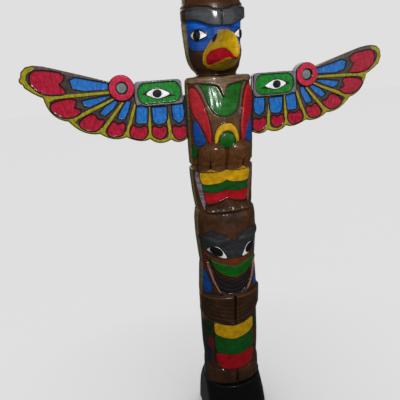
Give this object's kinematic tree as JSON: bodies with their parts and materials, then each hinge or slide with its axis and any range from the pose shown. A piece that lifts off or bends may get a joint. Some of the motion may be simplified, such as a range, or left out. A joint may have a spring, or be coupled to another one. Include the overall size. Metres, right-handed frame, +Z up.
{
  "type": "totem pole",
  "caption": "Carved and painted wooden totem pole: an eagle with spread wings and a hooked beak above a bear, standing on a square black base.",
  "frame": {"origin": "on the base's flat underside, straight below the trunk's drawing axis and 18.5 mm in front of the block's middle, on the floor", "axes": "+Z up the pole, the carved figures face -Y, the wings reach out along -X and +X"},
  "size_m": [1.11, 0.3205, 1.5],
  "materials": {
    "black_gloss_base": "black gloss paint on wood",
    "painted_carving": "dark stained wood painted in red, blue, green, yellow and grey, varnished",
    "painted_wing": "wooden board painted in red, blue, yellow and grey with black outlines, varnished"
  },
  "bodies": {
    "root": {"base": "black_gloss_base", "pole": "painted_carving", "left_wing": "painted_wing", "right_wing": "painted_wing"}
  },
  "joints": []
}
